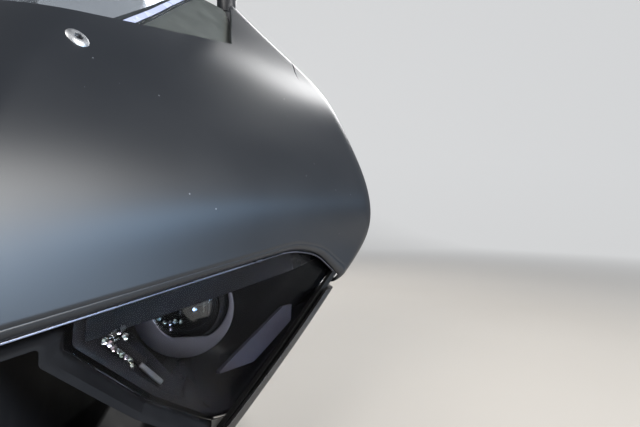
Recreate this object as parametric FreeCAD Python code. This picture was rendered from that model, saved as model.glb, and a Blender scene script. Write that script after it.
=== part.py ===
import FreeCAD, Part
import math
import os

# The front fairing of a sport bike, in millimetres: nose cowl, side panels, lower frame,
# intake ducts, twin projector lamps, windscreen, instrument, stay and folding mirrors.
# The front faces -Y, the bike's left side is +X and +Z is up.
# The origin lies on the bolted face of the stay, at the middle of its four bolts.
# Outlines are tables of corners with the radius that rounds each one.

# Walls and clearances
cowl_wall = 3.0
frame_wall = 4.0
screen_wall = 3.0
panel_wall = 2.5
duct_wall = 2.5
housing_wall = 3.0
seat = 0.3
screen_seat = 0.9
duct_seat = 1.6
shut_gap = 0.4

# Reach of the shapes that cut the form
front_limit = -360.0
form_rear = 130.0
rear_run = 6.0
reach_x = 300.0
reach_z = 150.0
beyond = 30.0

# Master form: plan sections at heights z. The nose point before rounding is at y = apex,
# its flanks open by flank_deg, the nose and the shoulders are rounded by tip_r and shoulder_r,
# the shoulder corner is half_w from the middle and the sides open rearwards by side_deg.
# z, apex, flank_deg, tip_r, half_w, shoulder_r, side_deg
upper_rows = (
    (-15, -334.5, 42.2, 26, 186, 24, 1),
    (27, -329, 42.5, 28, 238, 48, 1),
    (60, -320, 44.5, 30, 242, 60, 1),
    (115, -284, 44.5, 34, 233, 60, 0),
    (160, -240, 44.5, 40, 221, 56, 0),
    (195, -196, 44.5, 48, 206, 50, 0),
    (235, -146, 46.0, 58, 156, 44, 0),
    (271, -100, 47.5, 72, 116, 36, 0),
)
lower_rows = (
    (-125, -322, 43.0, 16, 36, 9, 20),
    (-65, -341, 43.0, 20, 113, 10, 6),
    (0, -333, 42.3, 25, 200, 13, 2),
)
# The screen follows the nose from z = 27 and goes on above it. z, apex, flank_deg, tip_r
screen_top_rows = (
    (310, -50, 50.0, 92),
    (350, 14, 55.0, 118),
)
screen_form_w = 170.0
# The recessed face behind the lamp opening. z, apex, flank_deg, tip_r
face_rows = (
    (-125, -322, 43.0, 16),
    (-65, -341, 43.0, 20),
    (0, -333, 42.3, 25),
    (40, -326, 42.8, 28),
)
face_form_w = 232.0

# Cowl edges in side view
lip_front_z = -1.0
lip_rise = 0.136
lip_front_y = -345.0
lip_bend_y, lip_bend_r = -172.0, 20.0
lip_fall = (-124.0, 10.0, 18.0)
lamp_tip = (-108.0, -9.0, 5.0)
rear_edge_y = -101.0
edge_bend_z, edge_bend_r = 96.0, 70.0
edge_knee = (-24.0, 190.0, 90.0)
horn_top_z = 270.0
horn_rear_y = 58.0
horn_front_y, horn_front_r = -4.0, 6.0
brow_y, brow_z, brow_r = -82.0, 199.0, 14.0
brow_slope = 0.306
brow_front_y = -268.0
side_rear_y = 118.0
side_low_z, side_low_r = 20.0, 18.0
side_top_z, side_top_r = 165.0, 40.0
side_horn_r = 4.0
side_from_x = 20.0

# The cowl's lip is rolled and turned inwards over the intakes and the lamps
lip_roll_r = 2.4
lip_flange_depth = 8.0
lip_flange_t = 2.5
lip_flange_end_y = -190.0

# A tongue of the side panel lies behind the cowl's edge along the shut line
tongue_w = 8.0
tongue_t = 2.5
tongue_root = 1.5
tongue_low_z, tongue_top_z = 40.0, 180.0

# Bolt holes for the lower fairing, in each side panel
side_bolt_r = 2.75
side_bolt_y = 98.0
# height of each hole, and how far its axis points up, square to the panel there
side_bolts = ((60.0, 0.0), (115.0, 12.0))

# Lower frame in front view
strip_w = 8.5
strip_wrap = 8.0
cheek_rear_y, cheek_rear_r = -60.0, 30.0
chin_half = 26.0
chin_top_z = -104.0
chin_rear_y = -225.0
beak_half = 12.0
beak_rear_y = -286.0
beak_top_z = 30.0

# Lamp window in front view, with the intake mouth inside and below it
lamp_window = ((41, 8, 5), (150, 24.5, 60), (181, 23, 14), (194, 2, 8),
               (106, -66, 5), (96, -63, 6), (69, -38, 14), (41, -5, 6))
mouth = ((14.5, -1, 5), (37.5, 2, 4), (37.8, -6.5, 6), (66, -40, 14),
         (93, -66.5, 4), (96, -71, 4), (42, -111, 9), (14.5, -96, 6))
duct_rear_y = -62.0
duct_bead, duct_bead_w, duct_bead_in = 1.6, 3.0, 7.0

# Lamp. lamp_back is the rear of the housing in plan: x, y
cover_depth = 9.0
cover_wall = 3.0
lamp_back = ((30, -165), (62, -118), (122, -118), (205, -86))
lamp_limit_y = -60.0
lamp_low_z, lamp_top_z = -90.0, 60.0
lens_x, lens_z = 77.0, -10.0
lens_r = 20.5
lens_bulge = 9.0
lens_proud = 2.0
bezel_r, bezel_lip = 31.0, 3.0
bezel_y = -186.0
bezel_t, bezel_cone = 9.0, 6.0
lens_gap = 0.6
barrel_r = 25.0
barrel_rear_y = -128.0
barrel_foot = 0.6
fin_count, fin_pitch, fin_gap, fin_depth = 4, 6.0, 2.5, 4.0
cap_x, cap_z = 79.0, -8.0
cap_r, cap_t = 14.0, 9.0
cap_grips, cap_grip_r = 10, 1.6
eyelid_drop = 14.0
eyelid_rise = 5.0
eyelid_depth = 7.0
# x, z of the line that the eyelid follows
eyelid_line = ((40, 7), (150, 21.5), (200, 36))
guide_depth = 5.0
# Light guide along the lower edge of the lamp: its outline and what is open within it
guide_outline = ((72, -30), (101, -53), (181, 6), (196, 6), (108, -75), (68, -45))
guide_open = ((60, -28), (74, -33.5), (99, -53.5), (172, 3), (172, 30), (60, 30))
crystal_r = 5.2
crystal_top = 0.45
crystal_h = 7.0
crystal_count = 5
crystal_gap = 3.0
crystal_from = (50.5, -12.0)
crystal_to = (70.0, -30.0)
rail_w = 6.0
rail_sunk = 1.5
rail_past = 4.0

# Windscreen outline, right half in front view: x, z, corner radius
screen_half = ((28, 137, 6), (41, 150, 8), (60, 214, 90), (86, 290, 90), (93, 336, 22), (56, 349, 40))
# Inner panel between screen and cowl
inner_panel = ((31, 146, 3), (44, 153, 8), (112, 188, 10), (121, 206, 12), (106, 236, 30),
               (100, 262, 8), (70, 262, 6), (52, 219, 90), (33, 160, 8))
screen_rear_y = 105.0

# Instrument
dash_w, dash_h, dash_t = 172.0, 100.0, 24.0
dash_y, dash_z = 10.0, 176.0
dash_tilt = 32.0
dash_rim = 6.0
dash_low_r, dash_high_r = 18.0, 26.0
dash_pocket = 3.0
dash_sunk = 0.6
dash_bar_h, dash_bar_t = 16.0, 9.0
hood_out, hood_wall, hood_h = 13.0, 3.0, 34.0

# Stay
plate_w, plate_h, plate_t = 76.0, 92.0, 9.0
plate_r = 12.0
bolt_x, bolt_z = 50.0, 60.0
bolt_hole_r = 4.25
arm_w, arm_h = 15.0, 18.0
upper_arm_x, upper_arm_z = 24.0, 30.0
lower_arm_x, lower_arm_z = 28.0, 8.0
knee_x = 103.0
knee_r = 9.3
link_share = 0.8
boss_h = 22.0
boss_step = 1.0
pad_w, pad_t, pad_h = 24.0, 8.0, 30.0
pad_x, pad_z = 108.5, 2.0

# Mirrors
hinge_x, hinge_y, hinge_z = 102.0, 24.0, 288.0
hinge_r = 10.5
foot_h = 16.0
knuckle_h = 17.0
pin_r = 4.0
pin_gap = 0.15
pin_short = 4.0
turn_gap = 0.4
mirror_arm_w, mirror_arm_h = 18.0, 12.0
arm_root_x, arm_root_share = 3.0, 0.56
arm_end_in, arm_end_front, arm_end_drop = 0.34, 0.62, 12.0
head_x, head_y, head_z = 280.0, 36.0, 366.0
head_w, head_h, head_t = 158.0, 86.0, 38.0
head_slant = 0.06
# outline of the mirror: across and up as shares of its half width and half height, corner radius
head_corners = ((-1, -0.55, 14), (-0.5, -1, 18), (0.86, -0.74, 22),
                (1, 0.3, 24), (0.45, 1, 26), (-0.86, 0.62, 20))
# its back in rows: how far forward as a share of its depth, how much smaller all round
head_rows = ((0.0, 0.0), (0.55, 6.0), (1.0, 24.0))
glass_t = 3.0
glass_sunk = 0.6
glass_rim = 5.0


def vec(x, y, z):
    return FreeCAD.Vector(x, y, z)


def section_wire(z, apex, flank_deg, tip_r, half_w, shoulder_r, side_deg, inset, rear):
    """One closed plan section of the form, moved inwards by inset."""
    a = math.radians(flank_deg)
    b = math.radians(side_deg)
    corner_y = apex + half_w / math.tan(a)
    nose_y = apex + inset / math.sin(a)
    px = half_w - inset * math.cos(b)
    py = corner_y + inset * math.sin(b)
    along = (px * math.cos(b) - (py - nose_y) * math.sin(b)) / math.sin(a - b)
    qx = along * math.sin(a)
    qy = nose_y + along * math.cos(a)
    nose_r = tip_r - inset
    round_r = max(shoulder_r - inset, 1.0)
    run = round_r * math.tan((a - b) / 2)
    reach = nose_r / math.tan(a)
    nose_end = vec(reach * math.sin(a), nose_y + reach * math.cos(a), z)
    nose_mid = vec(0, nose_y + nose_r / math.sin(a) - nose_r, z)
    start = vec(qx - run * math.sin(a), qy - run * math.cos(a), z)
    end = vec(qx + run * math.sin(b), qy + run * math.cos(b), z)
    centre_x = start.x - round_r * math.cos(a)
    centre_y = start.y + round_r * math.sin(a)
    mean = (a + b) / 2
    middle = vec(centre_x + round_r * math.cos(mean), centre_y - round_r * math.sin(mean), z)
    back = vec(end.x + (rear - end.y) * math.tan(b), rear, z)

    def other(p):
        return vec(-p.x, p.y, p.z)

    return Part.Wire([
        Part.Arc(other(nose_end), nose_mid, nose_end).toShape(),
        Part.makeLine(nose_end, start),
        Part.Arc(start, middle, end).toShape(),
        Part.makeLine(end, back),
        Part.makeLine(back, other(back)),
        Part.makeLine(other(back), other(end)),
        Part.Arc(other(end), other(middle), other(start)).toShape(),
        Part.makeLine(other(start), other(nose_end)),
    ])


def form(rows, inset, rear=form_rear):
    wires = [section_wire(*row, inset, rear) for row in rows]
    return Part.makeLoft(wires, True, False, False, 3)


def widened(rows, half_w, shoulder_r=10, side_deg=0):
    return [tuple(row) + (half_w, shoulder_r, side_deg) for row in rows]


def shell(rows, outside, inside):
    """The wall between two insets of a form, open at the rear, top and bottom."""
    return form(rows, outside).cut(form(rows, inside, form_rear + rear_run))


def strip_of(rows, outside, inside, prism):
    """A narrow strip of such a wall, cut out before it is hollowed."""
    return biggest(form(rows, outside).common(prism).cut(form(rows, inside, form_rear + rear_run)))


def rounded_face(points, place):
    """A face bounded by lines and by the arcs that round its corners."""
    count = len(points)
    ends = []
    for i in range(count):
        u, v, r = points[i]
        pu, pv, _ = points[i - 1]
        nu, nv, _ = points[(i + 1) % count]
        before = (pu - u, pv - v)
        after = (nu - u, nv - v)
        lb = math.hypot(*before)
        la = math.hypot(*after)
        cosine = (before[0] * after[0] + before[1] * after[1]) / (lb * la)
        half = math.acos(max(-1.0, min(1.0, cosine))) / 2
        if r <= 0 or half > math.radians(89.5):
            ends.append(((u, v), None, (u, v)))
            continue
        cut = min(r / math.tan(half), 0.45 * lb, 0.45 * la)
        radius = cut * math.tan(half)
        p = (u + before[0] / lb * cut, v + before[1] / lb * cut)
        q = (u + after[0] / la * cut, v + after[1] / la * cut)
        bu = before[0] / lb + after[0] / la
        bv = before[1] / lb + after[1] / la
        lm = math.hypot(bu, bv)
        depth = radius / math.sin(half) - radius
        m = (u + bu / lm * depth, v + bv / lm * depth)
        ends.append((p, m, q))
    edges = []
    for i in range(count):
        p, m, q = ends[i]
        if m:
            edges.append(Part.Arc(place(*p), place(*m), place(*q)).toShape())
        following = ends[(i + 1) % count][0]
        if math.hypot(following[0] - q[0], following[1] - q[1]) > 1e-6:
            edges.append(Part.makeLine(place(*q), place(*following)))
    return Part.Face(Part.Wire(edges))


def cornered(points):
    """Corners with no radius given are sharp."""
    return [p if len(p) == 3 else (p[0], p[1], 0) for p in points]


def front_prism(points, y0, y1):
    face = rounded_face(cornered(points), lambda u, v: vec(u, y0, v))
    return face.extrude(vec(0, y1 - y0, 0))


def side_prism(points, x0, x1):
    face = rounded_face(cornered(points), lambda u, v: vec(x0, u, v))
    return face.extrude(vec(x1 - x0, 0, 0))


def plan_prism(points, z0, z1):
    face = rounded_face(cornered(points), lambda u, v: vec(u, v, z0))
    return face.extrude(vec(0, 0, z1 - z0))


def layer(low_z, high_z):
    """A block over the whole plan between two heights."""
    corner = vec(-reach_x, front_limit, low_z)
    return Part.makeBox(2 * reach_x, form_rear + rear_run - front_limit, high_z - low_z, corner)


def middle_box(half_w, rear_y, low_z, high_z):
    """A block about the middle plane, from in front of the nose back to rear_y."""
    return Part.makeBox(2 * half_w, rear_y - front_limit, high_z - low_z, vec(-half_w, front_limit, low_z))


def slab(width, height, corner_r, y0, y1):
    """A plate with rounded corners that faces forward, about the origin."""
    w, h = width / 2, height / 2
    corners = [(-w, -h, corner_r), (w, -h, corner_r), (w, h, corner_r), (-w, h, corner_r)]
    return front_prism(corners, y0, y1)


def mirrored(shape):
    return shape.mirror(vec(0, 0, 0), vec(1, 0, 0))


def y_cylinder(x, z, r, y0, y1):
    return Part.makeCylinder(r, y1 - y0, vec(x, y0, z), vec(0, 1, 0))


def beam(start, end, width, height):
    """A straight arm of rounded rectangular section between two points."""
    axis = end.sub(start)
    r = min(width, height) * 0.3
    face = rounded_face([(-width / 2, -height / 2, r), (width / 2, -height / 2, r),
                         (width / 2, height / 2, r), (-width / 2, height / 2, r)],
                        lambda u, v: vec(u, v, 0))
    bar = face.extrude(vec(0, 0, axis.Length))
    bar.Placement = FreeCAD.Placement(start, FreeCAD.Rotation(vec(0, 0, 1), axis))
    return bar


def biggest(shape):
    return max(shape.Solids, key=lambda s: s.Volume)


def inner_offset(points, amount):
    """The outline moved inwards by the given amount, side by side."""
    count = len(points)
    area = sum(points[i][0] * points[(i + 1) % count][1] - points[(i + 1) % count][0] * points[i][1]
               for i in range(count))
    sign = 1.0 if area > 0 else -1.0
    lines = []
    for i in range(count):
        u0, v0, _ = points[i]
        u1, v1, _ = points[(i + 1) % count]
        length = math.hypot(u1 - u0, v1 - v0)
        nu = -(v1 - v0) / length * sign
        nv = (u1 - u0) / length * sign
        lines.append((u0 + nu * amount, v0 + nv * amount, u1 - u0, v1 - v0))
    result = []
    for i in range(count):
        au, av, adu, adv = lines[i - 1]
        bu, bv, bdu, bdv = lines[i]
        det = adu * bdv - adv * bdu
        s = ((bu - au) * bdv - (bv - av) * bdu) / det
        result.append((au + adu * s, av + adv * s, max(points[i][2] - amount, 0.8)))
    return result


def flank_at(rows, z):
    """Nose point and flank angle of a form at height z, between its rows."""
    for low, high in zip(rows, rows[1:]):
        if z <= high[0]:
            break
    t = (z - low[0]) / (high[0] - low[0])
    return low[1] + (high[1] - low[1]) * t, math.radians(low[2] + (high[2] - low[2]) * t)


nodes = {}


def add(name, shape):
    nodes[name] = shape


def add_pair(name, shape):
    add("left_" + name, shape)
    add("right_" + name, mirrored(shape))


def lip_z(y):
    return lip_front_z + lip_rise * (y - lip_front_y)


# Nose cowl and side panels: bands of one shell, parted at the shut line
def cowl_outline():
    return [
        (lip_front_y, lip_z(lip_front_y)),
        (lip_bend_y, lip_z(lip_bend_y), lip_bend_r),
        lip_fall,
        lamp_tip,
        (rear_edge_y, lamp_tip[1]),
        (rear_edge_y, edge_bend_z, edge_bend_r),
        edge_knee,
        (horn_rear_y, horn_top_z),
        (horn_front_y, horn_top_z, horn_front_r),
        (brow_y, brow_z, brow_r),
        (brow_front_y, brow_z + brow_slope * (brow_front_y - brow_y)),
    ]


def side_outline():
    g = shut_gap
    return [
        (rear_edge_y + g, lamp_tip[1]),
        (rear_edge_y + g, edge_bend_z - g, edge_bend_r),
        (edge_knee[0] + g, edge_knee[1] - g, edge_knee[2]),
        (horn_rear_y + g, horn_top_z - g, side_horn_r),
        (side_rear_y, side_top_z, side_top_r),
        (side_rear_y, side_low_z, side_low_r),
        (cheek_rear_y, lamp_tip[1], cheek_rear_r),
    ]


def shut_band(fore, aft):
    """A band along the shut line, between two distances behind it."""
    slope = (edge_knee[0] - rear_edge_y) / (edge_knee[1] - edge_bend_z)
    top_y = rear_edge_y + (tongue_top_z - edge_bend_z) * slope
    return side_prism([
        (rear_edge_y + fore, tongue_low_z), (rear_edge_y + fore, edge_bend_z, edge_bend_r),
        (top_y + fore, tongue_top_z), (top_y + aft, tongue_top_z),
        (rear_edge_y + aft, edge_bend_z, edge_bend_r), (rear_edge_y + aft, tongue_low_z),
    ], side_from_x, reach_x)


def lip_edges(shape, skin):
    """The outer edges of the lip, from one lamp's tip round the nose to the other."""
    found = []
    for edge in shape.Edges:
        middle = edge.valueAt((edge.FirstParameter + edge.LastParameter) / 2)
        if middle.y > lamp_tip[0] - lamp_tip[2] or middle.z > lip_z(lip_bend_y) + lip_flange_t / 2:
            continue
        if min(face.distToShape(Part.Vertex(middle))[0] for face in skin.Faces) < seat / 10:
            found.append(edge)
    return found


upper_form = form(upper_rows, 0)
upper_shell = shell(upper_rows, 0, cowl_wall)
cowl = upper_shell.common(side_prism(cowl_outline(), -reach_x, reach_x))
flange_line = [(y, lip_z(y)) for y in (front_limit, lip_flange_end_y)]
flange_top = [(y, z + lip_flange_t) for y, z in reversed(flange_line)]
lip_band = side_prism(flange_line + flange_top, -reach_x, reach_x)
lip_flange = strip_of(upper_rows, 0, lip_flange_depth, lip_band)
cowl = cowl.fuse(lip_flange).removeSplitter()
cowl = cowl.makeFillet(min(lip_roll_r, 0.8 * cowl_wall), lip_edges(cowl, upper_form))
add("nose_cowl", biggest(cowl))

side_panel = biggest(upper_shell.common(side_prism(side_outline(), side_from_x, reach_x)))
tongue_in = cowl_wall + seat + tongue_t
tongue = strip_of(upper_rows, cowl_wall + seat, tongue_in, shut_band(-tongue_w, tongue_w))
root = strip_of(upper_rows, tongue_root, tongue_in, shut_band(shut_gap, tongue_w))
side_panel = biggest(side_panel.fuse([tongue, root]).removeSplitter())
for z, tilt in side_bolts:
    axis = vec(math.cos(math.radians(tilt)), 0, math.sin(math.radians(tilt)))
    sample = Part.makeBox(reach_x, 2, 2, vec(0, side_bolt_y - 1, z - 1))
    wall_x = biggest(side_panel.common(sample)).CenterOfMass.x
    start = vec(wall_x, side_bolt_y, z) - axis * (5 * cowl_wall)
    side_panel = side_panel.cut(Part.makeCylinder(side_bolt_r, 10 * cowl_wall, start, axis))
    print("side bolt hole at", round(wall_x, 3), side_bolt_y, z, "axis", axis)
add_pair("side_panel", side_panel)

# Lower frame: lip strips, chin, cheeks and the beak between the intakes
low_z, mid_z, top_z = (row[0] for row in lower_rows)
low_w, mid_w, top_w = (row[4] for row in lower_rows)
low_y, mid_y, top_y = (row[1] + row[4] / math.tan(math.radians(row[2])) + strip_wrap for row in lower_rows)
strip_top_z = lamp_tip[1] - shut_gap
strip_x = chin_half + seat
lower_shell = shell(lower_rows, 0, frame_wall)
strip_band = front_prism([
    (top_w - strip_w, top_z), (mid_w - strip_w, mid_z), (strip_x, chin_top_z), (strip_x, low_z),
    (low_w + beyond, low_z), (mid_w + beyond, mid_z), (top_w + beyond, top_z)], front_limit, lamp_limit_y)
strip_side = side_prism([
    (front_limit, strip_top_z), (top_y, strip_top_z), (mid_y, mid_z), (low_y, low_z),
    (front_limit, low_z)], strip_x, reach_x)
add_pair("lip_strip", biggest(lower_shell.common(strip_band).common(strip_side)))
cheek_side = side_prism([
    (top_y + seat, strip_top_z), (cheek_rear_y, strip_top_z), (cheek_rear_y, low_z),
    (low_y + seat, low_z), (mid_y + seat, mid_z)], strip_x, reach_x)
add_pair("cheek_panel", biggest(lower_shell.common(cheek_side)))
add("chin", biggest(lower_shell.common(middle_box(chin_half, chin_rear_y, low_z, chin_top_z))))

face_set = widened(face_rows, face_form_w)
beak_box = middle_box(beak_half, beak_rear_y, chin_top_z + seat, beak_top_z)
beak = form(face_set, frame_wall / 2).common(beak_box)
below_lip = side_prism([
    (front_limit, lip_z(front_limit) - seat), (beak_rear_y + seat, lip_z(beak_rear_y) - seat),
    (beak_rear_y + seat, beak_top_z + seat), (front_limit, beak_top_z + seat)], -reach_x, reach_x)
add("beak", biggest(beak.cut(below_lip)))

# Lamp cover and housing. They stay inside the cowl's wall near the lamp's outer tip
window_prism = front_prism(lamp_window, front_limit, lamp_limit_y)
cavity_prism = front_prism(inner_offset(lamp_window, housing_wall), front_limit, lamp_limit_y)
fit_prism = front_prism(inner_offset(lamp_window, housing_wall + seat), front_limit, lamp_limit_y)
inside_cowl = form(upper_rows, cowl_wall + seat)
lamp_room = inside_cowl.fuse(layer(upper_rows[0][0] - reach_z, upper_rows[0][0]))
cover = shell(face_set, cover_depth, cover_depth + cover_wall)
add_pair("lamp_cover", biggest(cover.common(window_prism).common(lamp_room)))


def back_block(inwards, past):
    """All that lies in front of the lamp's rear wall, its inner face or what fits in it."""
    rear = [(x, y - inwards) for x, y in lamp_back]
    corners = [(rear[0][0], front_limit)] + rear + [(rear[-1][0], front_limit)]
    return plan_prism(corners, lamp_low_z - past, lamp_top_z + past)


behind_cover = form(face_set, cover_depth + cover_wall + seat)
cup = behind_cover.common(window_prism).common(back_block(0, 0)).common(lamp_room)
housing = biggest(cup.cut(cavity_prism.common(back_block(housing_wall, 1))))
lamp_rear_y = lamp_back[1][1]
cap = y_cylinder(cap_x, cap_z, cap_r, lamp_rear_y - housing_wall / 2, lamp_rear_y + cap_t)
for i in range(cap_grips):
    turn = math.tau * i / cap_grips
    grip_x, grip_z = cap_x + cap_r * math.cos(turn), cap_z + cap_r * math.sin(turn)
    cap = cap.cut(y_cylinder(grip_x, grip_z, cap_grip_r, lamp_rear_y + seat, lamp_rear_y + cap_t + 1))
add_pair("lamp_housing", biggest(housing.fuse(cap)))
lamp_fit = fit_prism.common(back_block(housing_wall + seat, 1))


# Inside the lamp
def lens_ring(points):
    """A ring about the lens axis from its section: radius, y."""
    corners = [vec(lens_x + r, y, lens_z) for r, y in points]
    section = Part.Face(Part.makePolygon(corners + corners[:1]))
    return section.revolve(vec(lens_x, 0, lens_z), vec(0, 1, 0), 360)


bezel_rear_y = bezel_y + bezel_t
bezel = lens_ring([(lens_r + lens_gap, bezel_rear_y), (lens_r + lens_gap, bezel_y + bezel_cone),
                   (bezel_r - bezel_lip, bezel_y), (bezel_r, bezel_y), (bezel_r, bezel_rear_y)])
add_pair("lamp_bezel", biggest(bezel.common(lamp_fit)))
barrel = y_cylinder(lens_x, lens_z, barrel_r, bezel_rear_y + seat, barrel_rear_y)
for i in range(fin_count):
    y0 = barrel_rear_y - (i + 1) * fin_pitch
    barrel = barrel.cut(lens_ring([(barrel_r - fin_depth, y0), (barrel_r + 1, y0),
                                   (barrel_r + 1, y0 + fin_gap), (barrel_r - fin_depth, y0 + fin_gap)]))
rear_seat_y = lamp_rear_y - housing_wall - seat
foot = y_cylinder(lens_x, lens_z, barrel_r * barrel_foot, barrel_rear_y - fin_gap, rear_seat_y + seat)
add_pair("lamp_barrel", biggest(barrel.fuse(foot).common(lamp_fit)))
lens_sphere_r = (lens_r ** 2 + lens_bulge ** 2) / (2 * lens_bulge)
lens_front = bezel_y - lens_proud
lens_ball = Part.makeSphere(lens_sphere_r, vec(lens_x, lens_front + lens_sphere_r, lens_z))
lens = lens_ball.common(y_cylinder(lens_x, lens_z, lens_r, lens_front - 1, bezel_rear_y))
add_pair("lamp_lens", biggest(lens.common(lamp_fit)))

inside_cover = cover_depth + cover_wall + 2 * seat
upper_line = [(x, z + eyelid_rise) for x, z in eyelid_line]
lower_line = [(x, z - eyelid_drop) for x, z in reversed(eyelid_line)]
lid_band = front_prism(upper_line + lower_line, front_limit, lamp_limit_y)
eyelid = shell(face_set, inside_cover, inside_cover + eyelid_depth)
add_pair("lamp_eyelid", biggest(eyelid.common(lid_band).common(lamp_fit).common(lamp_room)))

guide = shell(face_set, inside_cover, inside_cover + guide_depth)
guide = guide.common(front_prism(guide_outline, front_limit, lamp_limit_y))
guide = guide.cut(front_prism(guide_open, front_limit, lamp_limit_y))
add_pair("light_guide", biggest(guide.common(lamp_fit).common(lamp_room)))


def frustum(centre, axis, r0, r1, height, sides=6):
    def ring(r, h):
        points = [vec(r * math.cos(math.tau * i / sides), r * math.sin(math.tau * i / sides), h)
                  for i in range(sides)]
        return Part.makePolygon(points + points[:1])
    gem = Part.makeLoft([ring(r0, 0), ring(r1, height)], True, True)
    gem.Placement = FreeCAD.Placement(centre, FreeCAD.Rotation(vec(0, 0, 1), axis))
    return gem


gem_middles = []
crystals = None
for i in range(crystal_count):
    t = i / (crystal_count - 1)
    x = crystal_from[0] + (crystal_to[0] - crystal_from[0]) * t
    z = crystal_from[1] + (crystal_to[1] - crystal_from[1]) * t
    apex, flank = flank_at(face_rows, z)
    outwards = vec(math.cos(flank), -math.sin(flank), 0)
    y = apex + x / math.tan(flank) + (inside_cover + crystal_h + crystal_gap) / math.sin(flank)
    gem = frustum(vec(x, y, z), outwards, crystal_r, crystal_r * crystal_top, crystal_h)
    gem_middles.append(vec(x, y, z).sub(outwards * rail_sunk))
    crystals = crystals.fuse(gem) if crystals else gem
run = (gem_middles[-1].sub(gem_middles[0])).normalize()
rail = beam(gem_middles[0].sub(run * rail_past), gem_middles[-1], rail_w, rail_w)
add_pair("lamp_crystals", biggest(crystals.fuse(rail).common(lamp_fit)))

# Intake ducts: straight tubes behind the mouths, with a bead for the air box's hose at the rear
tube = front_prism(mouth, front_limit, duct_rear_y)
bead_y = duct_rear_y - duct_bead_in
tube = tube.fuse(front_prism(inner_offset(mouth, -duct_bead), bead_y - duct_bead_w, bead_y))
bore = front_prism(inner_offset(mouth, duct_wall), front_limit - 1, duct_rear_y + 1)
duct_form = form(face_set, frame_wall + duct_seat)
behind_strip = form(lower_rows, frame_wall + seat).fuse(layer(mid_z, mid_z + reach_z))
add_pair("intake_duct", biggest(tube.cut(bore).common(duct_form).common(behind_strip)))

# Windscreen and the matt panels beside it
shared_rows = tuple(row[:4] for row in upper_rows if row[0] > 0)
screen_set = widened(shared_rows + screen_top_rows, screen_form_w)
screen_out = cowl_wall + screen_seat
screen_in = screen_out + screen_wall
outline = list(screen_half) + [(-x, z, r) for x, z, r in reversed(screen_half)]
screen = shell(screen_set, screen_out, screen_in).common(front_prism(outline, front_limit, screen_rear_y))
add("windscreen", biggest(screen))
panel = shell(screen_set, screen_in + seat, screen_in + seat + panel_wall)
add_pair("inner_panel", biggest(panel.common(front_prism(inner_panel, front_limit, screen_rear_y))))


# Instrument
def dash_slab(rim, y0, y1):
    """A slab of the housing's outline, inside its edge by rim."""
    half_w, half_h = dash_w / 2 - rim, dash_h / 2 - rim
    low_r, high_r = dash_low_r - rim, dash_high_r - rim
    return front_prism([(-half_w, -half_h, low_r), (half_w, -half_h, low_r),
                        (half_w, half_h, high_r), (-half_w, half_h, high_r)], y0, y1)


dash = dash_slab(0, -dash_t, 0).cut(dash_slab(dash_rim, -dash_pocket, 0))
hood = dash_slab(0, -hood_wall, hood_out).cut(dash_slab(hood_wall, -hood_wall - 1, hood_out + 1))
hood_side = side_prism([(-hood_wall, dash_h / 2 - hood_h), (hood_out, dash_h / 2 - hood_wall),
                        (hood_out, dash_h), (-hood_wall, dash_h)], -dash_w, dash_w)
dash = biggest(dash.fuse(hood.common(hood_side)).removeSplitter())
glass = dash_slab(dash_rim + seat, -dash_pocket, -dash_sunk)
dash_place = FreeCAD.Placement(vec(0, dash_y, dash_z), FreeCAD.Rotation(vec(1, 0, 0), dash_tilt))
dash.Placement = dash_place
glass.Placement = dash_place
add("instrument", dash)
add("instrument_glass", glass)

# Stay: bolted plate, upper arms to the instrument and mirrors, lower arms to the lamps
stay = slab(plate_w, plate_h, plate_r, -plate_t, 0)
bar_back_y = -dash_t - seat
bar = Part.makeBox(2 * knee_x, dash_bar_t, dash_bar_h, vec(-knee_x, bar_back_y - dash_bar_t, -dash_bar_h / 2))
bar.Placement = dash_place
stay = stay.fuse(bar)
knee_at = dash_place.multVec(vec(0, bar_back_y - dash_bar_t / 2, 0))
boss_low = hinge_z - foot_h - boss_h
for side in (-1, 1):
    knee = vec(side * knee_x, knee_at.y, knee_at.z)
    boss = vec(side * hinge_x, hinge_y, boss_low)
    pad = vec(side * pad_x, lamp_rear_y + seat, pad_z)
    lower_start = vec(side * lower_arm_x, -plate_t / 2, lower_arm_z)
    stay = stay.fuse([
        beam(vec(side * upper_arm_x, -plate_t / 2, upper_arm_z), knee, arm_w, arm_h),
        Part.makeSphere(knee_r, knee),
        beam(knee, boss.add(vec(0, 0, boss_h / 2)), arm_w * link_share, arm_h * link_share),
        Part.makeCylinder(hinge_r - boss_step, boss_h, boss),
        beam(lower_start, pad.add(vec(0, pad_t * link_share, 0)), arm_w, arm_h),
        Part.makeBox(pad_w, pad_t, pad_h, pad.sub(vec(pad_w / 2, 0, pad_h / 2))),
    ])
for x in (-bolt_x / 2, bolt_x / 2):
    for z in (-bolt_z / 2, bolt_z / 2):
        stay = stay.cut(y_cylinder(x, z, bolt_hole_r, -plate_t - reach_z / 3, plate_t))
add("fairing_stay", stay.removeSplitter())

# Mirrors: foot fixed on the stay, arm and head on the hinge
foot_low = hinge_z - foot_h + seat
foot = Part.makeCylinder(hinge_r, foot_h - seat, vec(hinge_x, hinge_y, foot_low))
pin = Part.makeCylinder(pin_r, foot_h + knuckle_h - pin_short, vec(hinge_x, hinge_y, foot_low))
add_pair("mirror_foot", foot.fuse(pin))
knuckle_z = hinge_z + turn_gap
knuckle = Part.makeCylinder(hinge_r, knuckle_h, vec(hinge_x, hinge_y, knuckle_z))
arm_start = vec(hinge_x + arm_root_x, hinge_y, knuckle_z + knuckle_h * arm_root_share)
arm_end = vec(head_x - head_w * arm_end_in, head_y - head_t * arm_end_front, head_z - arm_end_drop)
arm = beam(arm_start, arm_end, mirror_arm_w, mirror_arm_h)
above_foot = Part.makeCylinder(reach_x, reach_z, vec(hinge_x, hinge_y, knuckle_z))
pin_bore = Part.makeCylinder(pin_r + pin_gap, foot_h + knuckle_h, vec(hinge_x, hinge_y, hinge_z - foot_h))
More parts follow.
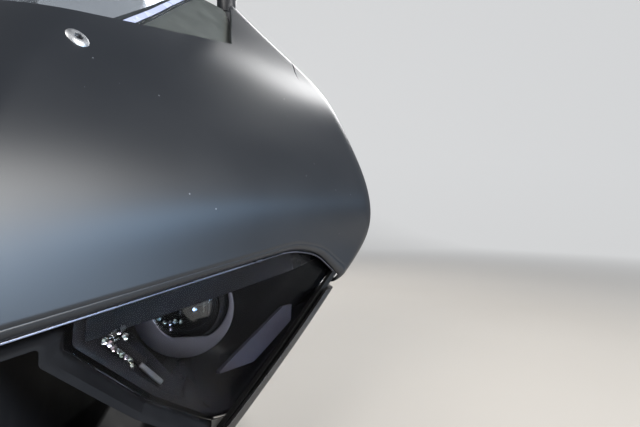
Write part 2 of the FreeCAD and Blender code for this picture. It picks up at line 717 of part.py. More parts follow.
mirror_arm = knuckle.fuse(arm).common(above_foot).cut(pin_bore)
add_pair("mirror_arm", mirror_arm)


def head_wire(y, grow):
    """The mirror's outline at depth y, grown all round."""
    w, h = head_w / 2 + grow, head_h / 2 + grow
    points = [(head_x + w * u, head_z + h * v, r) for u, v, r in head_corners]
    return rounded_face(points, lambda u, v: vec(u, y + head_slant * (u - head_x), v)).OuterWire


glass_back_y = head_y - glass_t - glass_sunk
head_wires = [head_wire(head_y - head_t * depth, -less) for depth, less in head_rows]
head = Part.makeLoft(head_wires, True, False, False, 3)
recess = Part.makeLoft([head_wire(head_y + 1, -glass_rim), head_wire(glass_back_y, -glass_rim)], True, True)
add_pair("mirror_shell", biggest(head.cut(recess).cut(mirror_arm)))
mirror_glass = Part.makeLoft([head_wire(head_y - glass_sunk, -glass_rim - seat),
                              head_wire(glass_back_y, -glass_rim - seat)], True, True)
add_pair("mirror_glass", mirror_glass)

os.makedirs("parts", exist_ok=True)
for name, shape in nodes.items():
    solids = shape.Solids
    shape = solids[0] if len(solids) == 1 else Part.makeCompound(solids)
    shape.exportStep("parts/" + name + ".step")
    print(name, len(solids), shape.isValid(), round(shape.Volume / 1000, 1), "cm3", shape.BoundBox)
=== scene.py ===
import bisect
import math

import bmesh
import bpy
from bmesh.types import BMEdge, BMFace, BMVert
from mathutils import Matrix, Vector


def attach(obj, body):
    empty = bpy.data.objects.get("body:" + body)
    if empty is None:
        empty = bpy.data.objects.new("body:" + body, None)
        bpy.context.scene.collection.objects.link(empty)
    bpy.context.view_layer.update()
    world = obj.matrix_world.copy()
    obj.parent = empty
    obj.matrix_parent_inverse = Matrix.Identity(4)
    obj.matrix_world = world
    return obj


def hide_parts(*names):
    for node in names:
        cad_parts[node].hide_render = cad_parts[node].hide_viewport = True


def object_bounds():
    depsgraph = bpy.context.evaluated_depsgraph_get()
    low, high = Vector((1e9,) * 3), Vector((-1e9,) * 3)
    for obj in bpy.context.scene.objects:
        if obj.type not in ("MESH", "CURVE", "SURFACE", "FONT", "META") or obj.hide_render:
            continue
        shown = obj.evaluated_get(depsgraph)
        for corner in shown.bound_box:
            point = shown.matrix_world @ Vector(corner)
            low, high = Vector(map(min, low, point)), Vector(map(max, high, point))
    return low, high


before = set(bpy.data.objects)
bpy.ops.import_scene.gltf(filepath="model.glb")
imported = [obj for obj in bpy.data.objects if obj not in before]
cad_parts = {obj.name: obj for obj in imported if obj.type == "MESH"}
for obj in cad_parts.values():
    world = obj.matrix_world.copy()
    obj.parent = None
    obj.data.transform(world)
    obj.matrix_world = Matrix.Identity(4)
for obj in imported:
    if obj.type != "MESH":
        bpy.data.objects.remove(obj)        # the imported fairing, in metres, front to -Y
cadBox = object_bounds()
mm = 0.001
rootBody = "fairing"
print("frame loaded:", len(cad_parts), "nodes")


def addObject(name, data):
    made = bpy.data.objects.new(name, data)
    bpy.context.scene.collection.objects.link(made)
    return made


# Camera

photo = {"width": 640, "focal": 427.0, "sensor": 36.0}    # pixels, pixels, mm
camera = {"place": (0.105, -0.465, 0.050), "turn": 12.0, "nearest": 0.01}


def makeCamera():
    data = bpy.data.cameras.new("photoCamera")
    data.sensor_width = photo["sensor"]
    data.lens = photo["focal"] / photo["width"] * photo["sensor"]
    data.clip_start = camera["nearest"]
    made = addObject("photoCamera", data)
    made.location = camera["place"]
    made.rotation_euler = (math.radians(90), 0, -math.radians(camera["turn"]))
    bpy.context.scene.camera = made


# Materials

finishes = {
    # darker and lighter colour, roughness from and to, scale of the clouds,
    # then scale, strength and depth in mm of the grain
    "satinBlack": ((0.0100, 0.0110, 0.0135), (0.0140, 0.0152, 0.0180), 0.34, 0.40, 9.0, 1500.0, 0.10, 0.05),
    "frameBlack": ((0.020, 0.019, 0.019), (0.032, 0.029, 0.027), 0.22, 0.34, 30.0, 2600.0, 0.12, 0.05),
    # the duct's black plastic, made darker and duller still: painted shade of the deep intake
    "ductBlack": ((0.006, 0.006, 0.007), (0.011, 0.011, 0.012), 0.50, 0.65, 40.0, 1800.0, 0.30, 0.10),
    "lampBlack": ((0.004, 0.004, 0.005), (0.008, 0.008, 0.010), 0.16, 0.28, 60.0, 900.0, 0.05, 0.05),
    "panelGrey": ((0.055, 0.060, 0.054), (0.080, 0.086, 0.078), 0.55, 0.68, 45.0, 2200.0, 0.35, 0.12),
    "stayMetal": ((0.030, 0.031, 0.033), (0.048, 0.049, 0.052), 0.38, 0.52, 70.0, 1400.0, 0.25, 0.10),
    "bezelMetal": ((0.135, 0.135, 0.17), (0.17, 0.17, 0.21), 0.45, 0.55, 90.0, 1800.0, 0.08, 0.05),
    "rimChrome": ((0.22, 0.22, 0.25), (0.30, 0.30, 0.33), 0.14, 0.22, 60.0, 1200.0, 0.05, 0.04),
    "instrumentBlack": ((0.014, 0.014, 0.015), (0.024, 0.024, 0.026), 0.42, 0.55, 60.0, 2400.0, 0.40, 0.12),
    "mirrorBlack": ((0.013, 0.013, 0.014), (0.020, 0.020, 0.022), 0.40, 0.50, 50.0, 2200.0, 0.35, 0.10),
    "sealBlack": ((0.006, 0.006, 0.006), (0.010, 0.010, 0.010), 0.55, 0.70, 80.0, 2400.0, 0.30, 0.08),
    "trimGrey": ((0.17, 0.17, 0.20), (0.24, 0.24, 0.28), 0.24, 0.34, 30.0, 2400.0, 0.08, 0.04),
    # a painted highlight: the pale blue-white of light along the screen's cut edge
    "edgeWhite": ((0.40, 0.43, 0.62), (0.52, 0.55, 0.74), 0.20, 0.30, 30.0, 2400.0, 0.05, 0.02),
    "displayMark": ((0.55, 0.56, 0.58), (0.66, 0.67, 0.68), 0.50, 0.60, 120.0, 2400.0, 0.08, 0.02),
    "mirrorSilver": ((0.84, 0.86, 0.88), (0.88, 0.90, 0.91), 0.015, 0.04, 14.0, 300.0, 0.004, 0.01),
    "screwSteel": ((0.50, 0.50, 0.51), (0.64, 0.64, 0.64), 0.42, 0.55, 300.0, 3000.0, 0.10, 0.05),
}
metalFinishes = ("bezelMetal", "screwSteel", "rimChrome", "trimGrey", "mirrorSilver")
# the duct's low shine is part of its painted shade
shines = {"ductBlack": 0.08, "lampBlack": 0.06, "sealBlack": 0.15, "rest": 0.5}
dust = {"on": "satinBlack", "scale": 55.0, "size": 0.028, "colour": (0.22, 0.22, 0.23)}
clearFinishes = {
    # tint, roughness, what the haze adds to it, refraction, share that lets light through
    "clearScreen": ((0.44, 0.48, 0.53), 0.03, 0.03, 1.49, 1.0),
    "lampClear": ((0.95, 0.96, 0.97), 0.01, 0.03, 1.13, 1.0),    # coated against glare
    "lensGlass": ((0.86, 0.91, 0.98), 0.02, 0.03, 1.52, 1.0),
    # the screen's rim tinted blue: painted sheen of the light along its edge
    "screenEdge": ((0.66, 0.66, 0.90), 0.30, 0.03, 1.3, 1.0),
    "crystalClear": ((0.86, 0.90, 1.00), 0.04, 0.03, 1.6, 1.0),
    "guideClear": ((0.024, 0.023, 0.033), 0.45, 0.03, 1.12, 0.15),
    "instrumentClear": ((0.80, 0.82, 0.85), 0.005, 0.01, 1.2, 1.0),
}
haze = {"scale": 35.0, "paler": 1.05}
# painted glints: random colours per small cell, mixed into the crystals' colour in place of the colours that
# light splits into
paintedGlints = {"on": "crystalClear", "scale": 420.0, "share": 0.35}
materials = {}


def newMaterial(name, colour, roughness, **sockets):
    material = bpy.data.materials.new(name)
    material.use_nodes = True
    shader = material.node_tree.nodes["Principled BSDF"]
    shader.inputs["Base Color"].default_value = (*colour, 1)
    shader.inputs["Roughness"].default_value = roughness
    for socket, value in sockets.items():
        shader.inputs[socket.replace("_", " ")].default_value = value
    return material


def addNode(owner, kind, sources=None, **settings):
    # sources give each socket a plain value or another node's output
    node = owner.node_tree.nodes.new(kind)
    for key, value in settings.items():
        setattr(node, key, value)
    for socket, source in (sources or {}).items():
        if isinstance(source, bpy.types.NodeSocket):
            owner.node_tree.links.new(source, node.inputs[socket])
        else:
            node.inputs[socket].default_value = source
    return node


def toShader(material, **outputs):
    shader = material.node_tree.nodes["Principled BSDF"]
    for socket, output in outputs.items():
        material.node_tree.links.new(output, shader.inputs[socket.replace("_", " ")])


def objectPoints(material):
    return addNode(material, "ShaderNodeTexCoord").outputs["Object"]


def noise(material, points, scale, detail):
    sources = {"Vector": points, "Scale": scale, "Detail": detail}
    return addNode(material, "ShaderNodeTexNoise", sources).outputs["Fac"]


def mixColours(material, factor, first, second):
    # both are plain colours or other nodes' outputs
    sources = {"Factor": factor}
    for socket, part in (("A", first), ("B", second)):
        sources[socket] = (*part, 1) if isinstance(part, tuple) else part
    return addNode(material, "ShaderNodeMix", sources, data_type="RGBA").outputs["Result"]


def spread(material, value, low, high, fromLow=0.3, fromHigh=0.7):
    sources = {"Value": value, "From Min": fromLow, "From Max": fromHigh, "To Min": low, "To Max": high}
    return addNode(material, "ShaderNodeMapRange", sources).outputs["Result"]


def calculated(owner, operation, first, second):
    return addNode(owner, "ShaderNodeMath", {0: first, 1: second}, operation=operation).outputs["Value"]


def grainedMaterial(name, look):
    # cloudy colour and roughness over a fine skin of bumps, with specks of dust on one finish
    dark, light, roughLow, roughHigh, cloudScale, grainScale, grainStrength, grainDepth = look
    metallic = 1.0 if name in metalFinishes else 0.0
    shine = shines.get(name, shines["rest"])
    material = newMaterial(name, dark, roughLow, Metallic=metallic, Specular_IOR_Level=shine)
    points = objectPoints(material)
    clouds = noise(material, points, cloudScale, detail=3.0)
    fine = noise(material, points, grainScale, detail=2.0)
    colour = mixColours(material, spread(material, clouds, 0, 1), dark, light)
    if name == dust["on"]:
        cells = addNode(material, "ShaderNodeTexVoronoi", {"Vector": points, "Scale": dust["scale"]})
        speck = calculated(material, "LESS_THAN", cells.outputs["Distance"], dust["size"])
        colour = mixColours(material, speck, colour, dust["colour"])
    bump = addNode(material, "ShaderNodeBump", {
        "Height": fine, "Strength": grainStrength, "Distance": grainDepth * mm})
    toShader(material, Base_Color=colour, Roughness=spread(material, clouds, roughLow, roughHigh),
             Normal=bump.outputs["Normal"])
    return material


def clearMaterial(name, look):
    # clear or tinted, with a faint haze, and in the crystals many small cells of painted glints, random
    # colours mixed into their colour
    tint, roughness, more, refraction, clear = look
    material = newMaterial(name, tint, roughness, Transmission_Weight=clear, IOR=refraction)
    points = objectPoints(material)
    clouds = noise(material, points, haze["scale"], detail=3.0)
    paler = tuple(min(1.0, part * haze["paler"]) for part in tint)
    colour = mixColours(material, spread(material, clouds, 0, 1), tint, paler)
    # painted glints, not the crystal's own colour
    if name == paintedGlints["on"]:
        cells = addNode(material, "ShaderNodeTexVoronoi", {"Vector": points, "Scale": paintedGlints["scale"]})
        colour = mixColours(material, paintedGlints["share"], colour, cells.outputs["Color"])
    rough = spread(material, clouds, roughness, roughness + more)
    toShader(material, Base_Color=colour, Roughness=rough)
    return material


def makeMaterials():
    for name, look in finishes.items():
        materials[name] = grainedMaterial(name, look)
    for name, look in clearFinishes.items():
        materials[name] = clearMaterial(name, look)


# Body form: plan sections in mm, as in the solids

form = {
    # height, nose point, flank angle, nose radius, half width, shoulder radius, side angle
    "upper": [
        (-15, -334.5, 42.2, 26, 186, 24, 1), (27, -329, 42.5, 28, 238, 48, 1),
        (60, -320, 44.5, 30, 242, 60, 1), (115, -284, 44.5, 34, 233, 60, 0),
        (160, -240, 44.5, 40, 221, 56, 0), (195, -196, 44.5, 48, 206, 50, 0),
        (235, -146, 46.0, 58, 156, 44, 0), (271, -100, 47.5, 72, 116, 36, 0),
    ],
    "face": [
        (-125, -322, 43.0, 16, 232, 10, 0), (-65, -341, 43.0, 20, 232, 10, 0),
        (0, -333, 42.3, 25, 232, 10, 0), (40, -326, 42.8, 28, 232, 10, 0),
    ],
    "screenTop": [(310, -50, 50.0, 92, 170, 10, 0), (350, 14, 55.0, 118, 170, 10, 0)],
    "screenSide": (170, 10, 0),    # the last three columns, all the way up the screen
    "spans": (24.0, 260.0, 50.0, 220.0),    # nominal lengths of nose, flank, shoulder and side
    "leastShoulder": 1.0, "past": 1.3, "halvings": 36,    # past: how far a search runs beyond the spans
}
rounding = {"step": 2.0, "arcSteps": 8, "most": 0.45}    # most: share of a run that a corner may take


def smoothThrough(knots, values):
    # natural cubic curve through the values
    count = len(knots)
    bend = [0.0] * count
    part = [0.0] * count
    for i in range(1, count - 1):
        before = knots[i] - knots[i - 1]
        after = knots[i + 1] - knots[i]
        share = before / (before + after)
        pivot = share * bend[i - 1] + 2
        bend[i] = (share - 1) / pivot
        turn = (values[i + 1] - values[i]) / after - (values[i] - values[i - 1]) / before
        part[i] = (6 * turn / (before + after) - share * part[i - 1]) / pivot
    for i in range(count - 2, -1, -1):
        bend[i] = bend[i] * bend[i + 1] + part[i]

    def at(z):
        i = max(0, min(count - 2, bisect.bisect_right(knots, z) - 1))
        width = knots[i + 1] - knots[i]
        a = (knots[i + 1] - z) / width
        b = 1 - a
        bent = ((a ** 3 - a) * bend[i] + (b ** 3 - b) * bend[i + 1]) * width ** 2 / 6
        return a * values[i] + b * values[i + 1] + bent

    return at


def makeForm(rows):
    # place(along, z, inset) gives a point of the form; along runs back from the nose
    heights = [row[0] for row in rows]
    columns = [smoothThrough(heights, [row[i] for row in rows]) for i in range(1, len(rows[0]))]
    nose, flankRun, shoulderRun, _ = form["spans"]

    def place(along, z, inset=0.0):
        apex, flank, tip, halfWidth, shoulder, side = (column(z) for column in columns)
        a = math.radians(flank)
        b = math.radians(side)
        noseY = apex + inset / math.sin(a)
        px = halfWidth - inset * math.cos(b)
        py = apex + halfWidth / math.tan(a) + inset * math.sin(b)
        reach = (px * math.cos(b) - (py - noseY) * math.sin(b)) / math.sin(a - b)
        tip = tip - inset
        shoulder = max(shoulder - inset, form["leastShoulder"])
        cut = shoulder * math.tan((a - b) / 2)
        if along <= nose:
            angle = (math.pi / 2 - a) * along / nose
            return Vector((tip * math.sin(angle), noseY + tip / math.sin(a) - tip * math.cos(angle), z)) * mm
        first = tip / math.tan(a)
        if along <= nose + flankRun:
            run = first + (reach - cut - first) * (along - nose) / flankRun
            return Vector((run * math.sin(a), noseY + run * math.cos(a), z)) * mm
        centreX = (reach - cut) * math.sin(a) - shoulder * math.cos(a)
        centreY = noseY + (reach - cut) * math.cos(a) + shoulder * math.sin(a)
        if along <= nose + flankRun + shoulderRun:
            turn = a - (a - b) * (along - nose - flankRun) / shoulderRun
            return Vector((centreX + shoulder * math.cos(turn), centreY - shoulder * math.sin(turn), z)) * mm
        run = along - nose - flankRun - shoulderRun
        endX = centreX + shoulder * math.cos(b)
        endY = centreY - shoulder * math.sin(b)
        return Vector((endX + run * math.sin(b), endY + run * math.cos(b), z)) * mm

    return place


def alongAt(place, axis, value, z, inset):
    # how far along the section at height z its x or y has the given value
    low, high = 0.0, sum(form["spans"]) * form["past"]
    for _ in range(form["halvings"]):
        middle = (low + high) / 2
        if place(middle, z, inset)[axis] / mm < value:
            low = middle
        else:
            high = middle
    return (low + high) / 2


def rounded(points):
    # a run of (across, height, radius) as close points, its inner corners rounded
    line = []
    for i, (u, v, r) in enumerate(points):
        here = Vector((u, v))
        if r == 0 or i in (0, len(points) - 1):
            line.append(here)
            continue
        back = Vector(points[i - 1][:2]) - here
        on = Vector(points[i + 1][:2]) - here
        longest = rounding["most"] * min(back.length, on.length)
        cut = min(r / math.tan(back.angle(on) / 2), longest)
        for j in range(rounding["arcSteps"] + 1):
            t = j / rounding["arcSteps"]
            first = here + back.normalized() * cut * (1 - t)
            second = here + on.normalized() * cut * t
            line.append(first.lerp(second, t))
    dense = []
    for p, q in zip(line, line[1:]):
        count = max(1, int((q - p).length / rounding["step"]))
        dense += [p.lerp(q, k / count) for k in range(count)]
    return dense + [line[-1]]


def evenly(line, skip=0.0):
    # the line as a function of 0 to 1, by its length, from a little way in
    lengths = [0.0]
    for p, q in zip(line, line[1:]):
        lengths.append(lengths[-1] + (q - p).length)
    total = lengths[-1]

    def at(t):
        want = skip + t * (total - skip)
        i = max(0, min(len(line) - 2, bisect.bisect_right(lengths, want) - 1))
        span = lengths[i + 1] - lengths[i]
        return line[i].lerp(line[i + 1], (want - lengths[i]) / span if span else 0.0)

    return at


def edgeOnForm(place, axis, points, inset=0.0):
    # an edge drawn in side view (axis 1) or front view (axis 0), as (along, height) on the form
    line = []
    for p in rounded(points):
        if axis == 1 and p.x <= place(0, p.y, inset).y / mm:
            line = [Vector((0.0, p.y))]
            continue
        line.append(Vector((alongAt(place, axis, p.x, p.y, inset), p.y)))
    return line


def partedAt(line, along):
    # the two halves of an edge, on each side of a distance along the form
    for i, (p, q) in enumerate(zip(line, line[1:])):
        if p.x <= along < q.x:
            joint = p.lerp(q, (along - p.x) / (q.x - p.x))
            return line[:i + 1] + [joint], [joint.copy()] + line[i + 1:]
    return line, line[-1:]


def skin(place, edges, cells, inset=0.0, roll=((0.0, 0.0),)):
    # a grid on the form between four edges: bottom, right, top, left; no left edge means a straight one
    # roll gives the height and depth of the rows that curl in under the bottom edge
    bottom, right, top, left = (list(edge) if edge else None for edge in edges)
    if left is None:
        left = [bottom[0], top[0]]
    left[0], right[0] = bottom[0], bottom[-1]
    top[0], top[-1] = left[-1], right[-1]
    lift, rollRows = roll[-1][0], len(roll) - 1
    low, high = evenly(bottom), evenly(top)
    after, before = evenly(right, lift), evenly(left, lift)
    lifted = Vector((0, lift))
    across, up = cells
    mesh = bmesh.new()
    bmesh.ops.create_grid(mesh, x_segments=across, y_segments=up + rollRows, size=0.5)
    for vert in mesh.verts:
        u = vert.co.x + 0.5    # 0 to 1 across
        row = round((vert.co.y + 0.5) * (up + rollRows))
        v = max(0.0, (row - rollRows) / up)
        base = low(u) + lifted
        spot = (1 - v) * base + v * high(u) + (1 - u) * before(v) + u * after(v)
        spot -= (1 - v) * ((1 - u) * before(0) + u * after(0)) + v * ((1 - u) * high(0) + u * high(1))
        height, depth = roll[min(row, rollRows)]
        if row < rollRows:
            spot = base - lifted + Vector((0, height))
        vert.co = place(max(spot.x, 0.0), spot.y, inset + depth)
    return mesh


def band(place, axis, low, top, shape):
    # a strip on the form between two edges, straight at its ends
    low, top = (edgeOnForm(place, axis, points, shape["inset"]) for points in (low, top))
    return skin(place, (low, [low[-1], top[-1]], top, None), shape["cells"], shape["inset"])


# Mesh tools

# what counts as one point, in mm
sewn = {"middle": 0.02, "nearMiddle": 0.2, "rims": 0.05, "node": 0.002, "cut": 0.001}
rimAbove = 1.0    # radians between faces


def only(items, kind):
    return [item for item in items if isinstance(item, kind)]


def everything(mesh):
    return mesh.verts[:] + mesh.edges[:] + mesh.faces[:]


def asData(name, mesh):
    data = bpy.data.meshes.new(name)
    mesh.to_mesh(data)
    mesh.free()
    return data


def evaluated(owner):
    # an object's mesh as its modifiers or its letters make it
    return bpy.data.meshes.new_from_object(owner.evaluated_get(bpy.context.evaluated_depsgraph_get()))


def setDown(mesh, spot, *turns):
    # turned about the origin, each turn in degrees and its axis, and moved to its place in mm
    for degrees, axis in turns:
        bmesh.ops.rotate(mesh, verts=mesh.verts, matrix=Matrix.Rotation(math.radians(degrees), 3, axis))
    bmesh.ops.translate(mesh, verts=mesh.verts, vec=Vector(spot) * mm)
    return mesh


def bevelled(mesh, edges, width, segments):
    bmesh.ops.bevel(mesh, geom=edges, offset=width * mm, segments=segments, profile=0.5, affect="EDGES",
                    material=-1)


def rimsOf(mesh):
    return [edge for edge in mesh.edges if edge.calc_face_angle(0) > rimAbove]


def drawnOut(mesh, depth):
    # flat faces given a depth along Z
    grown = bmesh.ops.extrude_face_region(mesh, geom=mesh.faces[:])["geom"]
    bmesh.ops.translate(mesh, verts=only(grown, BMVert), vec=(0, 0, depth * mm))


def block(size):
    mesh = bmesh.new()
    bmesh.ops.create_cube(mesh, size=1)
    bmesh.ops.scale(mesh, verts=mesh.verts, vec=Vector(size) * mm)
    return mesh


def mirrorAcross(mesh):
    # the other half, joined at the middle
    copy = bmesh.ops.duplicate(mesh, geom=everything(mesh))["geom"]
    bmesh.ops.scale(mesh, verts=only(copy, BMVert), vec=(-1, 1, 1))
    bmesh.ops.reverse_faces(mesh, faces=only(copy, BMFace))
    middle = [vert for vert in mesh.verts if abs(vert.co.x) < sewn["nearMiddle"] * mm]
    for vert in middle:
        vert.co.x = 0
    bmesh.ops.remove_doubles(mesh, verts=middle, dist=sewn["middle"] * mm)


def otherSide(mesh):
    copy = mesh.copy()
    bmesh.ops.scale(copy, verts=copy.verts, vec=(-1, 1, 1))
    bmesh.ops.reverse_faces(copy, faces=copy.faces)
    return copy


def gathered(meshes):
    # many meshes as one, loose
    whole = bmesh.new()
    for mesh in meshes:
        data = asData("joining", mesh)
        whole.from_mesh(data)    # adds to what is there
        bpy.data.meshes.remove(data)
    return whole


def sewnTogether(first, second):
    whole = gathered([first, second])
    rim = [vert for vert in whole.verts if vert.is_boundary]
    bmesh.ops.remove_doubles(whole, verts=rim, dist=sewn["rims"] * mm)
    return whole


def lathe(profile, centre, closed=False, steps=96):
    # a profile of (radius, place along Y) in mm, turned about the Y axis through centre (x, z)
    mesh = bmesh.new()
    x, z = centre
    verts = [mesh.verts.new(((x + r) * mm, y * mm, z * mm)) for r, y in profile]
    edges = [mesh.edges.new(pair) for pair in zip(verts, verts[1:])]
    if closed:
        edges.append(mesh.edges.new((verts[-1], verts[0])))
    bmesh.ops.spin(mesh, geom=verts + edges, cent=(x * mm, 0, z * mm), axis=(0, 1, 0), angle=math.tau,
                   steps=steps, use_merge=True)
    bmesh.ops.remove_doubles(mesh, verts=mesh.verts, dist=sewn["node"] * mm)
    bmesh.ops.recalc_face_normals(mesh, faces=mesh.faces)
    return mesh


def rod(start, end, width, edge=0.22):
    # a straight bar; edge is the share of its width that is eased
    run = Vector(end) - Vector(start)
    mesh = block((width, width, run.length))
    bevelled(mesh, mesh.edges[:], width * edge, 3)
    bmesh.ops.rotate(mesh, verts=mesh.verts, matrix=run.to_track_quat("Z", "X").to_matrix())
    return setDown(mesh, Vector(start) + run / 2)


def cutGem(mesh, spot, facing, radius, crown, height, spin=0.0):
    # a six-sided gem added to the mesh, its small face towards facing
    turn = Vector(facing).to_track_quat("Z", "Y").to_matrix().to_4x4()
    matrix = Matrix.Translation(Vector(spot) * mm) @ turn @ Matrix.Rotation(math.radians(spin), 4, "Z")
    bmesh.ops.create_cone(mesh, cap_ends=True, segments=6, radius1=radius * mm, radius2=radius * crown * mm,
                          depth=height * mm, matrix=matrix)


def copyNode(name):
    # a node's mesh with its loose triangles sewn
    mesh = bmesh.new()
    mesh.from_mesh(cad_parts[name].data)
    bmesh.ops.remove_doubles(mesh, verts=mesh.verts, dist=sewn["node"] * mm)
    return mesh


# Finished pieces

smoothUpTo, easeAbove = 40.0, 50.0    # degrees between faces


def shadeSmooth(data, sharp=smoothUpTo):
    data.shade_smooth()
    data.set_sharp_from_angle(angle=math.radians(sharp))


def finishPiece(name, mesh, material, slot, body=rootBody, nodes=(), sharp=smoothUpTo):
    data = asData(name, mesh)
    shadeSmooth(data, sharp)
    data.materials.append(materials[material])
    piece = addObject(name, data)
    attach(piece, body)
    if nodes:
        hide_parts(*nodes)
    return piece


def bothSides(name, mesh, material, slot, nodes=(), sharp=smoothUpTo):
    # the piece on the bike's left and its mirror image on the right
    made = []
    for side, half in (("left", mesh), ("right", otherSide(mesh))):
        replaced = [side + "_" + node for node in nodes]
        made.append(finishPiece(side + name, half, material, slot, rootBody, replaced, sharp))
    return made


def easeEdges(piece, width, segments=3):
    bevel = piece.modifiers.new("edge", "BEVEL")
    bevel.width = width * mm
    bevel.segments = segments
    bevel.limit_method = "ANGLE"
    bevel.angle_limit = math.radians(easeAbove)
    bevel.harden_normals = True


def walled(piece, shape):
    # a wall inwards from the skin, with its edges eased
    solid = piece.modifiers.new("wall", "SOLIDIFY")
    solid.thickness = shape["wall"] * mm
    solid.offset = -1
    easeEdges(piece, shape["edge"], shape.get("edgeSteps", 3))
    return solid


def cutBy(piece, cutter):
    # the piece less a closed mesh, worked out now
    tool = addObject("cutter", asData("cutter", cutter))
    boolean = piece.modifiers.new("cut", "BOOLEAN")
    boolean.object = tool
    shaped = evaluated(piece)
    piece.modifiers.remove(boolean)
    piece.data = shaped
    shadeSmooth(shaped)
    bpy.data.objects.remove(tool)


bodyForm = makeForm(form["upper"])
faceForm = makeForm(form["face"])
screenForm = makeForm([row[:4] + form["screenSide"] for row in form["upper"][1:]] + form["screenTop"])


# Nose cowl and side panels; edges in side view: y, z, radius

cowl = {
    "wall": 3.0, "edge": 0.7, "cells": (60, 84), "sideCells": (44, 84), "lipRoll": 4.2, "rollRows": 7,
    "groove": [(0.4, 0.3), (0.8, 0.3), (1.2, 0.0)],    # above the roll: height, depth
    "lip": [(-345, -1, 0), (-163, 24.0, 60), (-136, 18.5, 40), (-114, -0.5, 12)],
    "lipEnd": [(-108, -9, 5), (-101, -9, 0)],
    "rear": [(-101, -9, 0), (-101, 96, 70), (-24, 190, 90), (58, 270, 0)],
    "top": [(-268, 142.1, 0), (-82, 199, 0)],
    "horn": [(-82, 199, 0), (-4, 270, 6), (58, 270, 0)],
}
lipTrim = {
    "wall": 1.6, "edge": 0.3, "cells": (150, 3), "inset": 2.4, "lowest": -1.15, "highest": -0.25,
    "end": (-118, 3, 0),
}
sidePanel = {
    "wall": 3.0, "edge": 0.7, "cells": (70, 84),
    "front": [(-100.6, -9, 0), (-100.6, 95.6, 70), (-23.6, 189.6, 90), (58.4, 269.6, 0)],
    "foot": [(-100.6, -9, 0), (-60, -9, 30), (118, 20, 0)],
    "top": [(58.4, 269.6, 0), (118, 165, 0)],
    "back": [(118, 20, 0), (118, 165, 0)],
}


def lipRoll():
    # rows from the rim up round the roll and over the groove: height, depth
    radius, rows = cowl["lipRoll"], cowl["rollRows"]
    roll = []
    for row in range(rows + 1):
        angle = math.pi / 2 * (1 - row / rows)
        roll.append((radius * (1 - math.sin(angle)), radius * (1 - math.cos(angle))))
    return roll + [(radius + height, depth) for height, depth in cowl["groove"]]


def makeCowl():
    lip = edgeOnForm(bodyForm, 1, cowl["lip"] + cowl["lipEnd"])
    top, horn, rear = (edgeOnForm(bodyForm, 1, cowl[edge]) for edge in ("top", "horn", "rear"))
    brow = top[-1]
    frontLip, sideLip = partedAt(lip, brow.x)
    seam = [frontLip[-1], brow]
    roll = lipRoll()
    front = skin(bodyForm, (frontLip, seam, top, None), cowl["cells"], roll=roll)
    side = skin(bodyForm, (sideLip, rear, horn, seam), cowl["sideCells"], roll=roll)
    mesh = sewnTogether(front, side)
    mirrorAcross(mesh)
    walled(finishPiece("cowlSkin", mesh, "satinBlack", "satin_black", nodes=["nose_cowl"]), cowl)


def makeSidePanels():
    edges = [edgeOnForm(bodyForm, 1, sidePanel[edge]) for edge in ("foot", "back", "top", "front")]
    mesh = skin(bodyForm, edges, sidePanel["cells"])
    for piece in bothSides("SideSkin", mesh, "satinBlack", "satin_black", ["side_panel"]):
        walled(piece, sidePanel)


def makeLipTrim():
    # a thin bright bead along the lip's lower edge
    lip = cowl["lip"][:-1] + [lipTrim["end"]]
    low, top = ([(y, z + lipTrim[shift], r) for y, z, r in lip] for shift in ("lowest", "highest"))
    mesh = band(bodyForm, 1, low, top, lipTrim)
    mirrorAcross(mesh)
    walled(finishPiece("lipTrim", mesh, "trimGrey", "satin_black"), lipTrim)


# Headlamps; edges in front view: x, z, radius

lampCentre = (77.0, -10.0)    # of the left lens: x, z
lampCover = {
    "inset": 9.0, "wall": 3.0, "edge": 0.8, "cells": (72, 30),
    "low": [(41, -5, 0), (69, -38, 14), (96, -63, 6), (106, -66, 0)],
    "out": [(106, -66, 0), (194, 2, 8), (181, 23, 0)],
    "top": [(41, 8, 0), (150, 24.5, 60), (181, 23, 0)],
}
lampBands = {
    "LampEyelid": {
        "finish": "lampBlack", "slot": "eyelid_black", "nodes": ["lamp_eyelid"],
        "inset": 12.6, "wall": 6.5, "edge": 0.9, "cells": (72, 8),
        "low": [(44.5, -5.3, 0), (105, 1.5, 60), (150, 7.2, 60), (184, 15.5, 0)],
        "top": [(44.5, 7.4, 0), (150, 22.8, 60), (179, 21.4, 0)],
    },
    "LightGuide": {
        "finish": "guideClear", "slot": "light_guide", "nodes": ["light_guide"],
        "inset": 14.0, "wall": 3.0, "edge": 0.6, "cells": (72, 8),
        "low": [(99.2, -42.2, 0), (119.8, -44.2, 5), (148.4, -27.8, 0)],
        "top": [(99.2, -41.0, 0), (109.6, -34.7, 20), (142.1, -16.5, 0), (149.5, -17.0, 0)],
    },
    "LampSeal": {    # round the cover's outer edge
        "finish": "sealBlack", "slot": "lamp_black", "nodes": [],
        "inset": 5.4, "wall": 4.0, "edge": 0.6, "cells": (72, 8),
        "low": [(95.0, -76.6, 0), (201.4, 4.2, 0)],
        "top": [(95.6, -71.8, 0), (198.4, 7.8, 0)],
    },
}


def makeLampCover():
    inset = lampCover["inset"]
    low, out, top = (edgeOnForm(faceForm, 0, lampCover[edge], inset) for edge in ("low", "out", "top"))
    mesh = skin(faceForm, (low, out, top, None), lampCover["cells"], inset)
    for piece in bothSides("LampCover", mesh, "lampClear", "lamp_clear", ["lamp_cover"]):
        walled(piece, lampCover)


def makeLampBands():
    for name, shape in lampBands.items():
        mesh = band(faceForm, 0, shape["low"], shape["top"], shape)
        for piece in bothSides(name, mesh, shape["finish"], shape["slot"], shape["nodes"]):
            walled(piece, shape)


